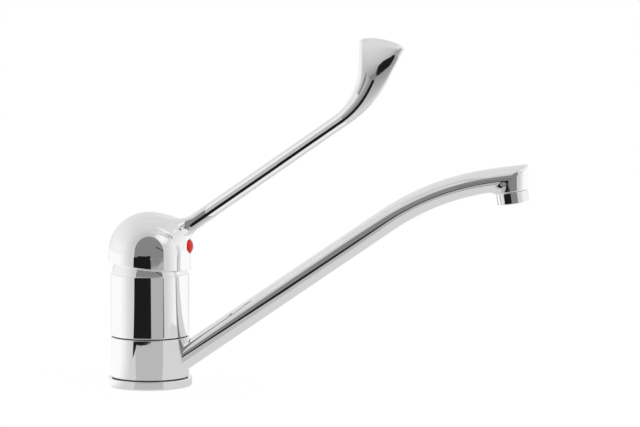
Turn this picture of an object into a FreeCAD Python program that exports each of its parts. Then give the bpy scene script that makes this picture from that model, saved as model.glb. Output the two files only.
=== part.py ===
import FreeCAD, Part
import math
import os
import re

import Sketcher

# Basin mixer tap with one long lever and a swivelling spout. Millimetres, +Z up.
# The origin is the middle of the foot on the basin; +X points to the outlet, -Y is the hot side.

doc = FreeCAD.newDocument("BasinMixerTap")
sheet = doc.addObject("Spreadsheet::Sheet", "Sizes")

SIZES = {
    # foot, body and spout collar
    "base_radius": 25.7,
    "base_height": 5.2,
    "base_chamfer": 0.8,
    "tool_overrun": 1.0,
    "gasket_thickness": 1.6,
    "gasket_inner": 19.0,
    "gasket_outer": 24.0,
    "body_radius": 24.0,
    "body_top": 69.3,
    "edge_break": 0.4,
    "spigot_radius": 17.42,
    "running_gap": 0.08,
    "screw_gap": 0.05,
    "glide_thickness": 0.6,
    "glide_gap": 0.1,
    "glide_outer": 23.3,
    "collar_top": 30.4,
    "groove_depth": 1.95,
    "groove_width": 2.6,
    "oring_section": 0.95,
    "oring_lift": 0.02,
    "lower_oring_height": 10.4,
    "upper_oring_height": 26.2,
    "gallery_low": 14.5,
    "gallery_high": 21.5,
    "gallery_depth": 2.2,
    # water ways and fixing holes in the foot of the body
    "port_x": 3.5,
    "port_y": 7.5,
    "port_radius": 3.0,
    "cross_way_radius": 2.8,
    "inlet_thread_radius": 4.46,
    "inlet_thread_depth": 12.0,
    "stud_x": -9.0,
    "stud_radius": 3.4,
    "stud_depth": 11.0,
    "outlet_port_x": -8.5,
    "outlet_port_bottom": 15.0,
    # cartridge
    "chamber_radius": 17.65,
    "chamber_floor": 40.0,
    "cartridge_radius": 17.5,
    "cartridge_base_top": 44.0,
    "seal_height": 1.5,
    "seal_inner": 3.4,
    "seal_outer": 4.9,
    "disc_pocket_radius": 15.3,
    "fixed_disc_radius": 15.2,
    "fixed_disc_top": 47.5,
    "moving_disc_radius": 12.7,
    "moving_disc_top": 51.0,
    "film_gap": 0.05,
    "mixing_depth": 2.0,
    "mixing_length": 9.6,
    "mixing_width": 15.6,
    "mixing_edge": 1.0,
    "carrier_top": 56.5,
    "carrier_floor": 1.0,
    "rotor_bottom": 57.0,
    "rotor_flange_top": 59.6,
    "rotor_flange_radius": 14.9,
    "rotor_radius": 12.2,
    "rotor_top": 72.0,
    "rotor_slot_length": 14.0,
    "rotor_slot_width": 8.8,
    "housing_shoulder": 60.0,
    "housing_neck_bottom": 62.0,
    "housing_neck_radius": 14.0,
    "housing_top": 70.0,
    "nut_bore": 14.3,
    "nut_thread_radius": 17.6,
    "nut_flange_radius": 20.0,
    "nut_flange_top": 72.4,
    "nut_flats": 30.0,
    "nut_top": 76.0,
    # spherical cover ring, about the point that the lever tilts on
    "pivot_height": 66.0,
    "cover_radius": 23.8,
    "cover_wall": 1.2,
    "cover_top": 78.5,
    "cover_lip_top": 71.0,
    "cover_lip_bore": 18.0,
    # stem and pin
    "stem_lean": 11.0,
    "stem_square": 8.0,
    "stem_length": 28.0,
    "stem_shank_radius": 3.6,
    "stem_square_start": 2.0,
    "stem_drop": 10.5,
    "stem_ball_radius": 3.0,
    "stem_neck_radius": 2.4,
    "stem_neck_length": 1.0,
    "ball_play": 0.3,
    "pin_radius": 1.5,
    "pin_length": 22.0,
    # handle cap
    "handle_radius": 25.4,
    "dome_centre": 81.5,
    "cap_wall": 2.6,
    "rim_height": 74.4,
    "rim_tilt": 6.1,
    "swing_radius": 24.6,
    "boss_radius": 8.6,
    "boss_x": 4.0,
    "boss_bottom": 80.0,
    "boss_clearance": 1.5,
    "socket_play": 0.12,
    "socket_end_gap": 0.5,
    "screw_height": 86.0,
    "screw_radius": 2.5,
    "screw_hole_radius": 2.55,
    "screw_start": 8.6,
    "screw_length": 8.0,
    "screw_key": 2.5,
    "screw_rib_radius": 6.2,
    "plug_radius": 4.5,
    "plug_recess_radius": 4.55,
    "plug_back": 21.6,
    "plug_bulge": 1.9,
    # lever
    "lever_axis_rise": 81.4,
    "lever_slope": 34.9,
    "rod_width": 9.3,
    "rod_thickness": 9.0,
    "neck_width": 13.6,
    "neck_start": 15.0,
    "neck_end": 36.0,
    "neck_waist": 0.6,
    "bend_start": 118.0,
    "lever_bend_radius": 55.0,
    "paddle_slope": 74.7,
    "paddle_straight": 16.0,
    "paddle_width": 27.8,
    "paddle_thickness": 7.4,
    "paddle_crown": 4.0,
    "paddle_lean": 4.5,
    "paddle_swell": 1.4,
    "paddle_thinning": 2.0,
    # spout arm and nozzle
    "arm_slope": 34.45,
    "arm_rise": 2.95,
    "arm_start": 12.0,
    "arm_half_height": 7.45,
    "arm_half_width": 10.6,
    "arm_wall": 2.0,
    "arm_bore_start": 23.0,
    "arm_feed_radius": 3.3,
    "arm_feed_height": 18.0,
    "arm_bend_radius": 155.0,
    "outlet_x": 224.0,
    "outlet_height": 116.1,
    "outlet_tilt": 8.2,
    "arm_over_outlet": 14.8,
    "nose_radius": 12.0,
    "nose_proud": 0.15,
    "nozzle_radius": 9.8,
    "nozzle_thread_radius": 8.5,
    "nozzle_thread_depth": 6.6,
    "nozzle_bore": 6.9,
    # aerator
    "shell_height": 7.2,
    "shell_bottom_radius": 9.6,
    "shell_thread_radius": 8.45,
    "shell_thread_top": 12.0,
    "shell_bore": 7.1,
    "shell_lip_bore": 6.4,
    "shell_lip_height": 1.0,
    "insert_radius": 7.0,
    "insert_bottom": 1.0,
    "insert_top": 8.4,
    "jet_radius": 0.55,
    "jet_ring": 1.75,
    "screen_thickness": 0.5,
    "screen_hole": 0.5,
    "screen_ring": 1.65,
    "washer_top": 13.6,
    "washer_bore": 5.9,
}

for row, (alias, value) in enumerate(SIZES.items(), start=1):
    sheet.set("A%d" % row, alias)
    sheet.set("B%d" % row, str(value))
    sheet.setAlias("B%d" % row, alias)
doc.recompute()

X_AXIS = FreeCAD.Vector(1, 0, 0)
Y_AXIS = FreeCAD.Vector(0, 1, 0)
Z_AXIS = FreeCAD.Vector(0, 0, 1)
CENTRED = ("0", "0", "0")

nodes = []


def size(words):
    """Value of a formula over the sheet's words."""
    return float(sheet.evalExpression(words))


def bind(thing, prop, words):
    """Tie a property to a formula over the sheet's words."""
    thing.setExpression(prop, re.sub(r"\b([a-z]\w*)\b(?!\()", r"Sizes.\1", words))


def point(at):
    """Point from three formulas."""
    return FreeCAD.Vector(size(at[0]), size(at[1]), size(at[2]))


def place(thing, at, axis=Z_AXIS, angle=0.0):
    """Put a thing at three formulas, turned about an axis through that point."""
    thing.Placement = FreeCAD.Placement(point(at), FreeCAD.Rotation(axis, angle))
    for letter, words in zip("xyz", at):
        bind(thing, "Placement.Base." + letter, words)
    return thing


def origin_plane(body, role):
    """One of a body's own origin planes."""
    return [feature for feature in body.Origin.OriginFeatures if feature.Role == role][0]


def pin_down(sketch, geometry, position, axis_name, words):
    """Hold one coordinate of a sketch point at a formula."""
    if words == "0":
        axis_line = -2 if axis_name == "DistanceX" else -1
        sketch.addConstraint(Sketcher.Constraint("PointOnObject", geometry, position, axis_line))
        return
    held = sketch.addConstraint(
        Sketcher.Constraint(axis_name, -1, 1, geometry, position, size(words)))
    bind(sketch, "Constraints[%d]" % held, words)


def turned(label, outline):
    """Lathe work about Z: corners (radius, height), with an arc's centre third where one arrives."""
    body = doc.addObject("PartDesign::Body", label)
    sketch = body.newObject("Sketcher::SketchObject", label + "_outline")
    sketch.AttachmentSupport = [(origin_plane(body, "XZ_Plane"), "")]
    sketch.MapMode = "FlatFace"
    corners = [FreeCAD.Vector(size(corner[0]), size(corner[1]), 0) for corner in outline]
    count = len(outline)
    ends = []
    for index in range(count):
        following = (index + 1) % count
        start = corners[index]
        stop = corners[following]
        if len(outline[following]) == 2:
            sketch.addGeometry(Part.LineSegment(start, stop))
            ends.append((1, 2))
            continue
        middle_words = outline[following][2]
        middle = FreeCAD.Vector(size(middle_words[0]), size(middle_words[1]), 0)
        circle = Part.Circle(middle, Z_AXIS, (start - middle).Length)
        leftward = (start - middle).cross(stop - middle).z > 0
        first, last = (start, stop) if leftward else (stop, start)
        from_angle = math.atan2(first.y - middle.y, first.x - middle.x)
        to_angle = math.atan2(last.y - middle.y, last.x - middle.x)
        sketch.addGeometry(Part.ArcOfCircle(circle, from_angle, to_angle))
        ends.append((1, 2) if leftward else (2, 1))
        pin_down(sketch, index, 3, "DistanceX", middle_words[0])
        pin_down(sketch, index, 3, "DistanceY", middle_words[1])
    for index in range(count):
        following = (index + 1) % count
        joined = (index, ends[index][1], following, ends[following][0])
        sketch.addConstraint(Sketcher.Constraint("Coincident", *joined))
    for index, corner in enumerate(outline):
        after_arc = len(corner) == 3
        on_axis = corner[0] == "0"
        if on_axis or not after_arc:
            pin_down(sketch, index, ends[index][0], "DistanceX", corner[0])
        if not (on_axis and after_arc):
            pin_down(sketch, index, ends[index][0], "DistanceY", corner[1])
    spin = body.newObject("PartDesign::Revolution", label + "_turning")
    spin.Profile = sketch
    spin.ReferenceAxis = (sketch, ["V_Axis"])
    spin.Angle = 360
    return body


def round_bar(label, radius, length, at, axis=Z_AXIS, angle=0.0):
    """Plain cylinder that starts at a point."""
    bar = doc.addObject("Part::Cylinder", label)
    bind(bar, "Radius", radius)
    bind(bar, "Height", length)
    return place(bar, at, axis, angle)


def along_x(label, radius, length, at):
    """Cylinder along +X."""
    return round_bar(label, radius, length, at, Y_AXIS, 90)


def along_y(label, radius, length, at):
    """Cylinder along +Y."""
    return round_bar(label, radius, length, at, X_AXIS, -90)


def block(label, lengths, at, axis=Z_AXIS, angle=0.0):
    """Plain box from its low corner."""
    solid = doc.addObject("Part::Box", label)
    for side, words in zip(("Length", "Width", "Height"), lengths):
        bind(solid, side, words)
    return place(solid, at, axis, angle)


def hexagon(label, across_flats, length, at, axis=Z_AXIS, angle=0.0):
    """Six-sided prism that starts at a point."""
    solid = doc.addObject("Part::Prism", label)
    solid.Polygon = 6
    bind(solid, "Circumradius", "(%s) / sqrt(3)" % across_flats)
    bind(solid, "Height", length)
    return place(solid, at, axis, angle)


def fused(label, pieces):
    """Pieces that are cast or machined as one."""
    whole = doc.addObject("Part::MultiFuse", label)
    whole.Shapes = pieces
    whole.Refine = True
    return whole


def bored(label, blank, tools):
    """A blank with holes and recesses taken out of it."""
    result = doc.addObject("Part::Cut", label)
    result.Base = blank
    result.Tool = tools[0] if len(tools) == 1 else fused(label + "_cuts", tools)
    result.Refine = True
    return result


def shared(label, first, second):
    """What two solids have in common."""
    result = doc.addObject("Part::Common", label)
    result.Base = first
    result.Tool = second
    return result


def node(thing, label):
    """Enter a finished piece under its own name."""
    thing.Label = label
    nodes.append(thing)
    return thing


def ring(label, inner, outer, bottom, top):
    """Flat ring with a rectangular section."""
    return turned(label, [(inner, bottom), (outer, bottom), (outer, top), (inner, top)])


def oring(label, centre_radius, section, height):
    """Rubber ring of round section."""
    solid = doc.addObject("Part::Torus", label)
    bind(solid, "Radius1", centre_radius)
    bind(solid, "Radius2", section)
    return place(solid, ("0", "0", height))


# Foot: flange, gasket and the two thin glide rings that the spout collar turns between.
COLLAR_BOTTOM = "base_height + glide_thickness + glide_gap"
BODY_SHOULDER = "collar_top + glide_gap + glide_thickness"
flange_blank = turned("base_flange_blank", [
    ("spigot_radius + screw_gap", "0"),
    ("base_radius - base_chamfer / 2", "0"),
    ("base_radius", "base_chamfer"),
    ("base_radius", "base_height - edge_break"),
    ("base_radius - edge_break", "base_height"),
    ("spigot_radius + screw_gap", "base_height"),
])
gasket_seat = ring("gasket_seat", "gasket_inner", "gasket_outer", "0", "gasket_thickness")
node(bored("base_flange_cut", flange_blank, [gasket_seat]), "base_flange")
node(ring("gasket", "gasket_inner", "gasket_outer", "0", "gasket_thickness"), "base_gasket")
node(ring("lower_glide", "spigot_radius + running_gap", "glide_outer", "base_height",
          "base_height + glide_thickness"), "lower_glide_ring")
node(ring("upper_glide", "spigot_radius + running_gap", "glide_outer",
          "collar_top + glide_gap", BODY_SHOULDER), "upper_glide_ring")


# Body: spigot with two ring grooves and a water gallery, cartridge chamber above.
def groove(height):
    """Four corners of a ring groove in the spigot, from the bottom up."""
    low = height + " - groove_width / 2"
    high = height + " + groove_width / 2"
    floor = "spigot_radius - groove_depth"
    return [("spigot_radius", low), (floor, low), (floor, high), ("spigot_radius", high)]


body_blank = turned("mixer_body_blank", [
    ("0", "0"),
    ("spigot_radius", "0"),
    *groove("lower_oring_height"),
    ("spigot_radius", "gallery_low"),
    ("spigot_radius - gallery_depth", "gallery_low"),
    ("spigot_radius - gallery_depth", "gallery_high"),
    ("spigot_radius", "gallery_high"),
    *groove("upper_oring_height"),
    ("spigot_radius", BODY_SHOULDER),
    ("body_radius - edge_break", BODY_SHOULDER),
    ("body_radius", BODY_SHOULDER + " + edge_break"),
    ("body_radius", "body_top - edge_break"),
    ("body_radius - edge_break", "body_top"),
    ("chamber_radius", "body_top"),
    ("chamber_radius", "chamber_floor"),
    ("0", "chamber_floor"),
])
PORTS = {
    "hot": ("port_x", "-port_y"),
    "cold": ("port_x", "port_y"),
    "mixed": ("outlet_port_x", "0"),
}
water_ways = []
for side in ("hot", "cold"):
    x, y = PORTS[side]
    water_ways.append(round_bar(side + "_thread", "inlet_thread_radius", "inlet_thread_depth",
                                (x, y, "0")))
    water_ways.append(round_bar(side + "_way", "port_radius", "chamber_floor", (x, y, "0")))
water_ways.append(round_bar("mixed_way", "port_radius", "chamber_floor - outlet_port_bottom",
                            ("outlet_port_x", "0", "outlet_port_bottom")))
water_ways.append(along_x("mixed_cross_way", "cross_way_radius", "spigot_radius + outlet_port_x",
                          ("-spigot_radius", "0", "(gallery_low + gallery_high) / 2")))
water_ways.append(round_bar("stud_thread", "stud_radius", "stud_depth", ("stud_x", "0", "0")))
node(bored("mixer_body_cut", body_blank, water_ways), "mixer_body")

ORING_CENTRE = "spigot_radius - groove_depth + oring_section + oring_lift"
for level in ("lower", "upper"):
    node(oring(level + "_oring", ORING_CENTRE, "oring_section", level + "_oring_height"),
         level + "_spout_oring")

# Cartridge: base with seals, housing, ceramic discs, carrier, rotor and pin.
base_blank = ring("cartridge_base_blank", "0", "cartridge_radius", "chamber_floor",
                  "cartridge_base_top")
base_cuts = []
seals = []
for side, (x, y) in PORTS.items():
    floor_point = (x, y, "chamber_floor")
    base_cuts.append(round_bar(side + "_seat", "seal_outer + screw_gap", "seal_height", floor_point))
    base_cuts.append(round_bar(side + "_hole", "port_radius",
                               "cartridge_base_top - chamber_floor", floor_point))
    seal_blank = round_bar(side + "_seal_blank", "seal_outer", "seal_height", floor_point)
    seal_hole = round_bar(side + "_seal_hole", "seal_inner", "seal_height", floor_point)
    seals.append(bored(side + "_seal", seal_blank, [seal_hole]))
node(bored("cartridge_base_cut", base_blank, base_cuts), "cartridge_base")
seal_group = doc.addObject("Part::Compound", "seal_group")
seal_group.Links = seals
node(seal_group, "inlet_seals")

node(turned("housing", [
    ("disc_pocket_radius", "cartridge_base_top"),
    ("cartridge_radius", "cartridge_base_top"),
    ("cartridge_radius", "housing_neck_bottom"),
    ("housing_neck_radius", "housing_neck_bottom"),
    ("housing_neck_radius", "housing_top"),
    ("rotor_radius + running_gap", "housing_top"),
    ("rotor_radius + running_gap", "housing_shoulder"),
    ("disc_pocket_radius", "housing_shoulder"),
]), "cartridge_housing")

fixed_blank = ring("fixed_disc_blank", "0", "fixed_disc_radius", "cartridge_base_top",
                   "fixed_disc_top")
fixed_holes = []
for side, (x, y) in PORTS.items():
    fixed_holes.append(round_bar(side + "_disc_hole", "port_radius",
                                 "fixed_disc_top - cartridge_base_top",
                                 (x, y, "cartridge_base_top")))
node(bored("fixed_disc_cut", fixed_blank, fixed_holes), "fixed_ceramic_disc")

# The moving disc starts off centre, under the stem's ball, and slides towards +X as the lever lifts.
BALL_X = "-stem_drop * sin(stem_lean)"
MOVING_BOTTOM = "fixed_disc_top + film_gap"
moving_blank = round_bar("moving_disc_blank", "moving_disc_radius",
                         "moving_disc_top - fixed_disc_top - film_gap", (BALL_X, "0", MOVING_BOTTOM))
mixing_pocket = block("mixing_pocket", ("mixing_length", "mixing_width", "mixing_depth"),
                      ("port_x - port_radius - mixing_edge - mixing_length", "-mixing_width / 2",
                       MOVING_BOTTOM))
node(bored("moving_disc_cut", moving_blank, [mixing_pocket]), "moving_ceramic_disc")
carrier_blank = round_bar("carrier_blank", "moving_disc_radius", "carrier_top - moving_disc_top",
                          (BALL_X, "0", "moving_disc_top"))
ball_socket = round_bar("ball_socket", "stem_ball_radius + ball_play",
                        "carrier_top - moving_disc_top - carrier_floor",
                        (BALL_X, "0", "moving_disc_top + carrier_floor"))
node(bored("carrier_cut", carrier_blank, [ball_socket]), "disc_carrier")

rotor_blank = turned("rotor_blank", [
    ("0", "rotor_bottom"),
    ("rotor_flange_radius", "rotor_bottom"),
    ("rotor_flange_radius", "rotor_flange_top"),
    ("rotor_radius", "rotor_flange_top"),
    ("rotor_radius", "rotor_top"),
    ("0", "rotor_top"),
])
stem_slot = block("stem_slot", ("rotor_slot_length", "rotor_slot_width", "rotor_top - rotor_bottom"),
                  ("-rotor_slot_length / 2", "-rotor_slot_width / 2", "rotor_bottom"))
pin_hole = along_y("pin_hole", "pin_radius", "2 * rotor_flange_radius",
                   ("0", "-rotor_flange_radius", "pivot_height"))
node(bored("rotor_cut", rotor_blank, [stem_slot, pin_hole]), "stem_rotor")
node(along_y("pin", "pin_radius", "pin_length", ("0", "-pin_length / 2", "pivot_height")), "pivot_pin")

nut_blank = turned("nut_blank", [
    ("nut_bore", "housing_neck_bottom"),
    ("nut_thread_radius", "housing_neck_bottom"),
    ("nut_thread_radius", "cover_lip_top"),
    ("nut_flange_radius", "cover_lip_top"),
    ("nut_flange_radius", "nut_flange_top"),
    ("nut_bore", "nut_flange_top"),
])
nut_hex = hexagon("nut_hex", "nut_flats", "nut_top - nut_flange_top", ("0", "0", "nut_flange_top"))
nut_hole = round_bar("nut_hole", "nut_bore", "nut_top", CENTRED)
node(bored("nut_cut", fused("nut_whole", [nut_blank, nut_hex]), [nut_hole]), "cartridge_nut")

PIVOT = ("0", "pivot_height")
COVER_INNER = "cover_radius - cover_wall"
node(turned("cover", [
    ("cover_lip_bore", "body_top"),
    ("sqrt(cover_radius ^ 2 - (body_top - pivot_height) ^ 2)", "body_top"),
    ("sqrt(cover_radius ^ 2 - (cover_top - pivot_height) ^ 2)", "cover_top", PIVOT),
    ("sqrt((%s) ^ 2 - (cover_top - pivot_height) ^ 2)" % COVER_INNER, "cover_top"),
    ("sqrt((%s) ^ 2 - (cover_lip_top - pivot_height) ^ 2)" % COVER_INNER, "cover_lip_top", PIVOT),
    ("cover_lip_bore", "cover_lip_top"),
]), "cover_ring")

# Stem: drawn upright about its pivot, then leaned towards the lever.
shank = round_bar("stem_shank", "stem_shank_radius", "stem_drop + stem_square_start",
                  ("0", "0", "-stem_drop"))
ball = doc.addObject("Part::Sphere", "stem_ball")
bind(ball, "Radius", "stem_ball_radius")
place(ball, ("0", "0", "-stem_drop"))
neck_relief = ring("stem_neck_relief", "stem_neck_radius", "stem_shank_radius + tool_overrun",
                   "-stem_drop - tool_overrun", "-stem_drop + stem_ball_radius + stem_neck_length")
square = block("stem_square_bar", ("stem_square", "stem_square", "stem_length - stem_square_start"),
               ("-stem_square / 2", "-stem_square / 2", "stem_square_start"))
necked_shank = bored("stem_necked_shank", shank, [neck_relief])
stem_whole = fused("stem_whole", [necked_shank, ball, square])
stem_hole = along_y("stem_hole", "pin_radius + screw_gap", "2 * stem_square",
                    ("0", "-stem_square", "0"))
stem = bored("stem_cut", stem_whole, [stem_hole])
STEM_SEAT = ("0", "0", "pivot_height")
node(place(stem, STEM_SEAT, Y_AXIS, size("stem_lean")), "cartridge_stem")


# Lever: rod, bend and paddle as one smooth body through rounded stations, with a low crown as its end.
# The paddle's stations lean forward over its straight.
STATION_POINTS = 16
ROD_STATIONS = 5
PADDLE_STATIONS = 6
CROWN_ANGLES = (0, 30, 60, 80)


def lever_course(distance):
    """Point on the lever's centre line and slope of the station there, past the start of its bend."""
    slope = math.radians(size("lever_slope"))
    x = size("bend_start")
    z = size("lever_axis_rise") + x * math.tan(slope)
    bend_radius = size("lever_bend_radius")
    turn = math.radians(size("paddle_slope")) - slope
    if distance <= 0:
        return x + distance * math.cos(slope), z + distance * math.sin(slope), slope
    angle = slope + min(distance / bend_radius, turn)
    x += bend_radius * (math.sin(angle) - math.sin(slope))
    z += bend_radius * (math.cos(slope) - math.cos(angle))
    beyond = max(distance - bend_radius * turn, 0)
    lean = math.radians(size("paddle_lean")) * min(beyond / size("paddle_straight"), 1)
    return x + beyond * math.cos(angle), z + beyond * math.sin(angle), angle + lean


def rounded_station(distance, width, thickness):
    """Closed curve square to the lever, width in its upright plane and thickness across it."""
    x, z, slope = lever_course(distance)
    across = FreeCAD.Vector(-math.sin(slope), 0, math.cos(slope))
    middle = FreeCAD.Vector(x, 0, z)
    loop = []
    for step in range(STATION_POINTS):
        angle = 2 * math.pi * step / STATION_POINTS
        loop.append(middle + across * (width / 2 * math.cos(angle))
                    + Y_AXIS * (thickness / 2 * math.sin(angle)))
    curve = Part.BSplineCurve()
    curve.interpolate(loop, PeriodicFlag=True)
    return Part.Wire([curve.toShape()])


def shoulder_distance():
    """Length of the bend and the paddle's straight, up to the crown."""
    turn = math.radians(size("paddle_slope - lever_slope"))
    return turn * size("lever_bend_radius") + size("paddle_straight")


def lever_stations():
    """Distance, width and thickness down the lever, from inside the cap to the paddle's shoulder."""
    slope = math.radians(size("lever_slope"))
    straight = [(size(words) - size("bend_start")) / math.cos(slope)
                for words in ("neck_start", "(neck_start + neck_end) / 2", "neck_end")]
    rod = (size("rod_width"), size("rod_thickness"))
    neck = size("neck_width")
    waist = [(neck + side) / 2 - size("neck_waist") for side in rod]
    stations = [(straight[0], neck, neck), (straight[1], *waist)]
    for part in range(ROD_STATIONS):
        stations.append((straight[2] * (1 - part / (ROD_STATIONS - 1)), *rod))
    swell = (size("paddle_width") - rod[0], size("paddle_thickness") - rod[1])
    for part in range(1, PADDLE_STATIONS + 1):
        share = part / PADDLE_STATIONS
        stations.append((shoulder_distance() * share,
                         rod[0] + swell[0] * share ** size("paddle_swell"),
                         rod[1] + swell[1] * share ** size("paddle_thinning")))
    return stations


def crown_stations():
    """Distance, width and thickness of the paddle's round end."""
    stations = []
    for degrees in CROWN_ANGLES:
        angle = math.radians(degrees)
        stations.append((shoulder_distance() + size("paddle_crown") * math.sin(angle),
                         size("paddle_width") * math.cos(angle),
                         size("paddle_thickness") * math.cos(angle)))
    return stations


def lofted(label, stations):
    """Smooth solid through stations of the lever."""
    solid = doc.addObject("Part::Feature", label)
    solid.Shape = Part.makeLoft([rounded_station(*station) for station in stations], True, False)
    return solid


lever = fused("lever", [lofted("lever_rod", lever_stations()), lofted("lever_crown", crown_stations())])

# Handle cap: dome on a short straight skirt, hollow, with a tilted rim and a square socket.
CAP_FLOOR = "rim_height - 2 * plug_radius"
cap_blank = turned("cap_blank", [
    ("0", CAP_FLOOR),
    ("handle_radius", CAP_FLOOR),
    ("handle_radius", "dome_centre"),
    ("0", "dome_centre + handle_radius", ("0", "dome_centre")),
])
hollow = turned("cap_hollow", [
    ("0", CAP_FLOOR),
    ("handle_radius - cap_wall", CAP_FLOOR),
    ("handle_radius - cap_wall", "dome_centre"),
    ("0", "dome_centre + handle_radius - cap_wall", ("0", "dome_centre")),
])
swing_space = doc.addObject("Part::Sphere", "swing_space")
bind(swing_space, "Radius", "swing_radius")
place(swing_space, STEM_SEAT)
under_rim = block("under_rim", ("4 * handle_radius", "4 * handle_radius", "2 * handle_radius"),
                  ("-2 * handle_radius * cos(rim_tilt) - 2 * handle_radius * sin(rim_tilt)",
                   "-2 * handle_radius",
                   "rim_height + 2 * handle_radius * sin(rim_tilt) - 2 * handle_radius * cos(rim_tilt)"),
                  Y_AXIS, size("rim_tilt"))
cap_outside = fused("cap_outside", [cap_blank, lever])
cap_shell = bored("cap_shell", cap_outside, [hollow, swing_space, under_rim])
boss = round_bar("socket_boss", "boss_radius",
                 "dome_centre + handle_radius - cap_wall - boss_clearance - boss_bottom",
                 ("boss_x", "0", "boss_bottom"))
rib = along_x("screw_rib", "screw_rib_radius", "handle_radius - cap_wall", ("0", "0", "screw_height"))
cap_cast = fused("cap_cast", [cap_shell, boss, rib])
socket = block("stem_socket",
               ("stem_square + 2 * socket_play", "stem_square + 2 * socket_play",
                "stem_length + socket_end_gap"),
               ("-(stem_square / 2 + socket_play) * cos(stem_lean)", "-stem_square / 2 - socket_play",
                "pivot_height + (stem_square / 2 + socket_play) * sin(stem_lean)"),
               Y_AXIS, size("stem_lean"))
screw_hole = along_x("screw_hole", "screw_hole_radius", "handle_radius + plug_bulge",
                     ("0", "0", "screw_height"))
plug_recess = along_x("plug_recess", "plug_recess_radius", "handle_radius",
                      ("plug_back", "0", "screw_height"))
node(bored("handle_cut", cap_cast, [socket, screw_hole, plug_recess]), "lever_handle")

screw_blank = along_x("screw_blank", "screw_radius", "screw_length", ("screw_start", "0", "screw_height"))
screw_key = hexagon("screw_key_socket", "screw_key", "screw_length / 2",
                    ("screw_start + screw_length / 2", "0", "screw_height"), Y_AXIS, 90)
node(bored("screw_cut", screw_blank, [screw_key]), "handle_grub_screw")

# Indicator plug: a crowned button, split upright into a hot half and a cold half.
PLUG_FRONT = "handle_radius - plug_back + plug_bulge"
CROWN = "(plug_radius ^ 2 + plug_bulge ^ 2) / (2 * plug_bulge)"
for side, offset in (("hot", "-plug_radius"), ("cold", "0")):
    button = turned(side + "_button", [
        ("0", "0"),
        ("plug_radius", "0"),
        ("plug_radius", PLUG_FRONT + " - plug_bulge"),
        ("0", PLUG_FRONT, ("0", PLUG_FRONT + " - " + CROWN)),
    ])
    place(button, ("plug_back", "0", "screw_height"), Y_AXIS, 90)
    half = block(side + "_half", ("4 * plug_radius", "plug_radius", "4 * plug_radius"),
                 ("plug_back - tool_overrun", offset, "screw_height - 2 * plug_radius"))
    node(shared(side + "_plug", button, half), "indicator_" + side)

# Spout: collar, oval arm on a line, a bend and a line, and a tapered nose over the outlet.
def over_outlet(height):
    """Place on the outlet's tilted axis, at a height above the outlet."""
    return ("outlet_x - (%s) * sin(outlet_tilt)" % height, "0",
            "outlet_height + (%s) * cos(outlet_tilt)" % height)


def on_outlet_axis(thing, height="0"):
    """Stand a thing on the outlet's tilted axis."""
    return place(thing, over_outlet(height), Y_AXIS, -size("outlet_tilt"))


def heading(degrees):
    """Forward direction at a slope."""
    return FreeCAD.Vector(math.cos(math.radians(degrees)), 0, math.sin(math.radians(degrees)))


def arm_course(start_x):
    """Wire of the arm's centre line, from a place on its straight run to the outlet's axis."""
    climb = math.radians(size("arm_slope"))
    tilt = math.radians(size("outlet_tilt"))
    rise = size("arm_rise")
    radius = size("arm_bend_radius")
    finish = point(over_outlet("arm_over_outlet"))
    knee_x = (finish.z - finish.x * math.tan(tilt) - rise) / (math.tan(climb) - math.tan(tilt))
    knee = FreeCAD.Vector(knee_x, 0, rise + knee_x * math.tan(climb))
    reach = radius * math.tan((climb - tilt) / 2)
    bend_in = knee - heading(size("arm_slope")) * reach
    bend_out = knee + heading(size("outlet_tilt")) * reach
    centre = bend_in + FreeCAD.Vector(math.sin(climb), 0, -math.cos(climb)) * radius
    mean = (climb + tilt) / 2
    bend_middle = centre + FreeCAD.Vector(-math.sin(mean), 0, math.cos(mean)) * radius
    begin = FreeCAD.Vector(start_x, 0, rise + start_x * math.tan(climb))
    return Part.Wire([
        Part.LineSegment(begin, bend_in).toShape(),
        Part.Arc(bend_in, bend_middle, bend_out).toShape(),
        Part.LineSegment(bend_out, finish).toShape(),
    ])


def oval(label, half_width, half_height, middle, slope):
    """Oval section square to a heading, wide across it."""
    section = doc.addObject("Part::Ellipse", label)
    bind(section, "MajorRadius", half_width)
    bind(section, "MinorRadius", half_height)
    turn = FreeCAD.Rotation(Y_AXIS, FreeCAD.Vector(), heading(slope), "ZXY")
    section.Placement = FreeCAD.Placement(middle, turn)
    return section


def oval_arm(label, start_x, half_width, half_height):
    """Oval section swept along the arm."""
    spine = doc.addObject("Part::Feature", label + "_line")
    spine.Shape = arm_course(size(start_x))
    begin = spine.Shape.Edges[0].valueAt(spine.Shape.Edges[0].FirstParameter)
    section = oval(label + "_oval", half_width, half_height, begin, size("arm_slope"))
    sweep = doc.addObject("Part::Sweep", label)
    sweep.Sections = [section]
    sweep.Spine = (spine, ["Edge1", "Edge2", "Edge3"])
    sweep.Solid = True
    return sweep


collar = ring("collar", "spigot_radius", "body_radius", COLLAR_BOTTOM, "collar_top")
arm = oval_arm("arm", "arm_start", "arm_half_width", "arm_half_height")

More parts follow.
